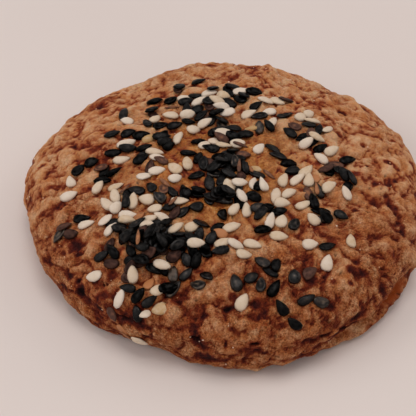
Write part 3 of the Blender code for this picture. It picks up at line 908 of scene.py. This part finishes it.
class Ground:
    """Height of the crust, and of what lies on it, on a fine square grid."""

    def __init__(self, crust):
        """Drop a level square of points straight down on to the crust."""
        steps = np.arange(-GROUND_REACH, GROUND_REACH, GROUND_STEP)
        across, back = np.meshgrid(steps, steps)
        cloth = np.stack([across, back, np.full_like(across, 2 * CROWN_LEVEL)], axis=-1)
        self.points = projected(cloth, crust, use_project_z=True)
        self.first = steps[0]

    def window(self, place, reach):
        """The part of the grid within reach of a place, as a pair of slices."""
        low = np.round((np.asarray(place) - reach - self.first) / GROUND_STEP).astype(int).clip(0)
        count = int(2 * reach / GROUND_STEP) + 2
        return slice(low[1], low[1] + count), slice(low[0], low[0] + count)

    def fit(self, place, heading, size):
        """The plane that a seed would rest on at a place, and how rough the ground is there."""
        rows, columns = self.window(place, size[0] / 2)
        patch = self.points[rows, columns]
        gap = patch[..., :2] - place
        along = gap[..., 0] * math.cos(heading) + gap[..., 1] * math.sin(heading)
        aside = gap[..., 1] * math.cos(heading) - gap[..., 0] * math.sin(heading)
        x = along / (size[0] / 2)
        share = np.maximum(np.abs(aside) / (size[1] / 2) / np.maximum(seed_half_width(x), 1e-3), np.abs(x))
        under = share < 1
        terms = np.stack([np.ones(under.sum()), along[under], aside[under]], axis=-1)
        heights = patch[..., 2][under]
        slopes = np.linalg.lstsq(terms, heights, rcond=None)[0][1:].clip(-STEEPEST, STEEPEST)
        level = terms[:, 1:] @ slopes
        return patch, under, share[under], heights, level, slopes, np.std(heights - level)

    def lay(self, place, heading, size, press, slips, tilt):
        """Lay one seed on the ground: its middle, the way its tip points and the way its side points.

        Of the places that it may slip to, it takes the flattest, lowest and nearest. It leans by a tilt
        to one side. It is lifted until little stands through its belly, and its upper face then
        becomes ground.
        """
        moves = [(place + step[:2] * MM, heading + math.radians(step[2])) for step in slips]
        cost = []
        for spot, way in moves:
            _, _, _, heights, _, _, bumps = self.fit(spot, way, size)
            cost.append(bumps + LOW_COST * heights.mean() + FAR_COST * np.linalg.norm(spot - place))
        place, heading = moves[int(np.argmin(cost))]
        patch, under, share, heights, level, slopes, _ = self.fit(place, heading, size)
        gap = patch[..., :2][under] - place
        level = level + tilt * (gap[:, 1] * math.cos(heading) - gap[:, 0] * math.sin(heading))
        belly = BELLY_DEPTH * (1 - share ** BELLY_POWER) * size[2] / 2
        lift = np.percentile(heights - level + belly, CLEAR_PERCENT) - press
        top = lift + level + np.interp(share, SEED_RINGS[:4, 0], SEED_RINGS[:4, 1]) * size[2] / 2
        patch[..., 2][under] = np.maximum(heights, top)
        toward = np.array([math.cos(heading), math.sin(heading), slopes[0]])
        side = np.array([-math.sin(heading), math.cos(heading), slopes[1] + tilt])
        return np.array([place[0], place[1], lift]), toward, side


def strewn():
    """Every string's seeds, evenly spaced along it, and the lone seeds: place, heading and kind."""
    places = []
    for start, end, kinds in STRINGS:
        for share, kind in zip(np.linspace(0, 1, len(kinds)), kinds):
            across, back, heading = (1 - share) * np.array(start) + share * np.array(end)
            places.append((across, back, heading, kind))
    return places + list(LONE_SEEDS)


def heaped(chance, places):
    """Seeds close to the dark ones, and the more dark seeds crowd a place, the more are heaped there."""
    dark = np.array([place[:2] for place in places if place[3] in DARK_KINDS])
    gap = dark[:, np.newaxis] - dark
    crowd = np.exp(-(gap ** 2).sum(axis=-1) / CROWD_REACH ** 2).sum(axis=1) ** CROWD_PULL
    middles = dark[chance.choice(len(dark), HEAPED_SEEDS, p=crowd / crowd.sum())]
    spots = middles + chance.normal(0, HEAP_SPREAD, middles.shape)
    headings = chance.uniform(0, 360, HEAPED_SEEDS)
    return [(*spot, heading, HEAPED_KINDS[chance.integers(len(HEAPED_KINDS))])
            for spot, heading in zip(spots, headings)]


def sprinkled(chance):
    """Every seed's place, heading, kind and play, the heaps first because the rest lie on them."""
    places = strewn()
    return ([(*row, HEAP_PLAY) for row in heaped(chance, places)]
            + [(*row, STRING_PLAY) for row in places])


def seed_material(name, stops, roughness, gloss, grain):
    """Seed hulls: a ramp of tints from seed to seed, mottled at a quarter of a millimetre.

    Ribs and rims are paler than the pits, a painted highlight, and also shinier, so gloss is a pair from
    pit to rib.
    """
    material, tree = bare_material(name)
    coords = node(tree, "ShaderNodeTexCoord").outputs["Object"]
    tint = node(tree, "ShaderNodeAttribute", attribute_name="tint").outputs["Fac"]
    mottle = node(tree, "ShaderNodeTexNoise", {"Vector": coords, "Scale": 1 / (0.7 * MM), "Detail": 3.0})
    shift = node(tree, "ShaderNodeMath", {0: mottle.outputs["Fac"], 1: 0.7, 2: -0.35},
                 operation="MULTIPLY_ADD")
    place = node(tree, "ShaderNodeMath", {0: tint, 1: shift.outputs[0]}, operation="ADD", use_clamp=True)
    colour = ramp(tree, place.outputs[0], stops)
    sheen = node(tree, "ShaderNodeMapRange", {"Value": place.outputs[0], "To Min": gloss[0],
                                              "To Max": gloss[1]})
    fine = node(tree, "ShaderNodeTexNoise", {"Vector": coords, "Scale": 1 / (0.22 * MM), "Detail": 2.0})
    bump = node(tree, "ShaderNodeBump", {"Height": fine.outputs["Fac"], "Distance": grain, "Strength": 1.0})
    shader = node(tree, "ShaderNodeBsdfPrincipled", {
        "Base Color": colour, "Roughness": roughness, "Normal": bump.outputs["Normal"],
        "Specular IOR Level": sheen.outputs["Result"], "IOR": 1.48})
    node(tree, "ShaderNodeOutputMaterial", {"Surface": shader.outputs["BSDF"]})
    return material


def crust_surface(crust):
    """Points and outward normals of the crust's vertices."""
    count = len(crust.data.vertices)
    points, normals = np.zeros(3 * count), np.zeros(3 * count)
    crust.data.vertices.foreach_get("co", points)
    crust.data.vertex_normals.foreach_get("vector", normals)
    return points.reshape(-1, 3), normals.reshape(-1, 3)


def on_the_wall(points, normals, degrees, height, heading, size, press):
    """A seed's middle, tip way and side way on the wall, at a direction and a height."""
    turn = np.degrees(np.arctan2(points[:, 1], points[:, 0]))
    gap = np.hypot((turn - degrees) * math.radians(1) * HALF_WIDTH, points[:, 2] - height * MM)
    nearest = int(np.argmin(gap + HALF_WIDTH * (normals[:, 2] < -0.5)))
    out = normals[gap < 1.5 * MM].mean(axis=0)
    out = out / np.linalg.norm(out)
    level = np.cross((0, 0, 1), out)
    toward = math.cos(heading) * level + math.sin(heading) * np.cross(out, level)
    return points[nearest] + (0.4 * size[2] - press) * out, toward, np.cross(out, toward)


def make_seeds(crust):
    """Lay the seeds on the crust one by one, then make one mesh of each colour of seed."""
    ground = Ground(crust)
    points, normals = crust_surface(crust)
    chance = np.random.default_rng(SPRINKLE_SEED)
    laid = {}
    for one, two, degrees, kind, play in sprinkled(chance) + [(*row, None) for row in WALL_SEEDS]:
        name, size, least, most, ridged, press = SEED_KINDS[kind]
        size = np.array(size) * MM * chance.normal(1, SIZE_SPREAD)
        ridged = ridged * chance.uniform(0.4, 1.0)
        press = press * chance.uniform(0.5, 1.5)
        heading = math.radians(degrees)
        if play is None:
            pose = on_the_wall(points, normals, one, two, heading, size, press)
        else:
            slips = chance.normal(0, (play, play, TURN_PLAY), (SLIPS, 3))
            tilt = chance.normal(0, TILT_SPREAD)
            pose = ground.lay(np.array([one, two]) * MM, heading, size, press, slips, tilt)
        bend = chance.normal(0, BEND_SPREAD) * MM
        laid.setdefault(name, []).append((size, ridged, bend, *pose, chance.uniform(least, most)))
    for name, seeds in laid.items():
        size, ridged, bend, middle, toward, side, tint = (np.array(values) for values in zip(*seeds))
        toward = toward / np.linalg.norm(toward, axis=1, keepdims=True)
        facing = np.cross(toward, side)
        facing = facing / np.linalg.norm(facing, axis=1, keepdims=True)
        side = np.cross(facing, toward)
        forms, rise = seed_forms(size, ridged, bend, chance)
        vertices = middle[:, None] + forms[..., :1] * toward[:, None] + forms[..., 1:2] * side[:, None]
        vertices = vertices + forms[..., 2:] * facing[:, None]
        # ribs and rims of a ridged seed are tinted paler, a painted highlight, and its groove darker, a
        # painted shade
        tints = tint[:, None] + ridged[:, None] * 1.8 * (rise - 0.6) * (rise > 0.2)
        hull = seed_material(*HULLS[name])
        seeds_piece = piece(name, vertices, seed_faces(len(forms)), hull, tint=tints)
        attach(seeds_piece, BODY)


def crumb_material():
    """Grains of coarse sugar and dry crumbs, from tan to clear white, a little shiny."""
    material, tree = bare_material("sugar_grain")
    tint = node(tree, "ShaderNodeAttribute", attribute_name="tint").outputs["Fac"]
    colour = ramp(tree, tint, ((0.0, "9A5C34"), (0.6, "D8A47A"), (1.0, "F0DCC8")))
    shader = node(tree, "ShaderNodeBsdfPrincipled", {"Base Color": colour, "Roughness": 0.3, "IOR": 1.5})
    node(tree, "ShaderNodeOutputMaterial", {"Surface": shader.outputs["BSDF"]})
    return material


def make_crumbs(crust):
    """Loose grains on top and wall: small octahedra, each stretched and turned its own way."""
    points, normals = crust_surface(crust)
    chance = np.random.default_rng(SPRINKLE_SEED + 1)
    open_ones = np.flatnonzero((normals[:, 2] > -0.1) & (points[:, 2] > CRUMBS_ABOVE))
    chosen = chance.choice(open_ones, CRUMBS, replace=False)
    corners = np.concatenate([np.eye(3), -np.eye(3)])
    size = chance.uniform(*CRUMB_SIZES, (CRUMBS, 1, 1)) * chance.uniform(0.7, 1.3, (CRUMBS, 1, 3)) * MM
    turns = np.linalg.qr(chance.normal(0, 1, (CRUMBS, 3, 3)))[0]
    turns = turns * np.sign(np.linalg.det(turns))[:, None, None]
    vertices = points[chosen][:, None] + (corners * size) @ turns
    top_fan = np.array([[0, 1, 2], [1, 3, 2], [3, 4, 2], [4, 0, 2]])
    faces = np.concatenate([top_fan, np.where(top_fan == 2, 5, top_fan)[:, ::-1]])
    faces = (faces[None] + 6 * np.arange(CRUMBS)[:, None, None]).reshape(-1, 3)
    tints = np.repeat(chance.uniform(0, 1, CRUMBS), 6)
    crumbs = piece("sugar_crumbs", vertices, faces.tolist(), crumb_material(), tint=tints)
    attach(crumbs, BODY)


# ---------------------------------------------------------------- floor, light and camera

CAMERA_RISE = 47.0  # degrees above the floor
CAMERA_DISTANCE = 185.0 * MM
CAMERA_AIM = Vector((-2.5 * MM, -3.53 * MM, 6.0 * MM))
CAMERA_LENS = 87.1  # mm
SENSOR_WIDTH = 36.0  # mm
FLOOR_REACH = 2.0  # metres from its middle
SKY_STRENGTH = 0.46


def make_floor():
    """A plain pale floor, faintly shiny, like a fired plate or a lacquered board."""
    material = bpy.data.materials.new("pale_glaze")
    material.use_nodes = True
    tree = material.node_tree
    shader = tree.nodes["Principled BSDF"]
    coords = node(tree, "ShaderNodeTexCoord").outputs["Object"]
    drift = node(tree, "ShaderNodeTexNoise", {"Vector": coords, "Scale": 12.0, "Detail": 1.0})
    tint = ramp(tree, drift.outputs["Fac"], ((0.3, "E6DCD8"), (0.7, "EAE1DD")))
    tree.links.new(tint, shader.inputs["Base Color"])
    shader.inputs["Roughness"].default_value = 0.5
    corners = np.array([[-1, -1, 0], [1, -1, 0], [1, 1, 0], [-1, 1, 0]]) * FLOOR_REACH
    corners[:, 2] = low_corner.z
    floor = piece("floor", corners, [(0, 1, 2, 3)], material)


def make_light(name, place, size, power, colour):
    """A soft square lamp at a place in metres, turned to face the biscuit."""
    lamp = bpy.data.lights.new(name, "AREA")
    lamp.size = size
    lamp.energy = power
    lamp.color = linear(colour)[:3]
    holder = bpy.data.objects.new(name, lamp)
    holder.location = place
    holder.rotation_euler = (-Vector(place)).to_track_quat("-Z", "Y").to_euler()
    bpy.context.scene.collection.objects.link(holder)


def make_camera():
    """The camera in front of and above the biscuit, looking down at it."""
    data = bpy.data.cameras.new("camera")
    data.lens = CAMERA_LENS
    data.sensor_width = SENSOR_WIDTH
    data.clip_start = 0.01
    rise = math.radians(CAMERA_RISE)
    away = Vector((0.0, -math.cos(rise), math.sin(rise)))
    camera = bpy.data.objects.new("camera", data)
    camera.location = CAMERA_AIM + away * CAMERA_DISTANCE
    camera.rotation_euler = (-away).to_track_quat("-Z", "Y").to_euler()
    bpy.context.scene.collection.objects.link(camera)
    bpy.context.scene.camera = camera


def make_studio():
    """Floor, a pale sky that gives most of the light, a broad lamp overhead and two weak ones beside."""
    make_floor()
    make_light("ceiling", (0.04, 0.06, 0.80), 0.4, 1.7, "FFF9F5")
    make_light("window", (-0.60, -0.05, 0.45), 0.4, 1.0, "FFFAF6")
    make_light("lamp", (0.55, 0.25, 0.45), 0.3, 0.4, "FFF4EC")
    world = bpy.data.worlds.new("studio")
    world.use_nodes = True
    sky = world.node_tree.nodes["Background"]
    sky.inputs["Color"].default_value = linear("FFF6F2")
    sky.inputs["Strength"].default_value = SKY_STRENGTH
    bpy.context.scene.world = world
    bpy.context.scene.view_settings.view_transform = "Standard"


make_camera()
make_studio()
crust = make_crust()
make_seeds(crust)
make_crumbs(crust)
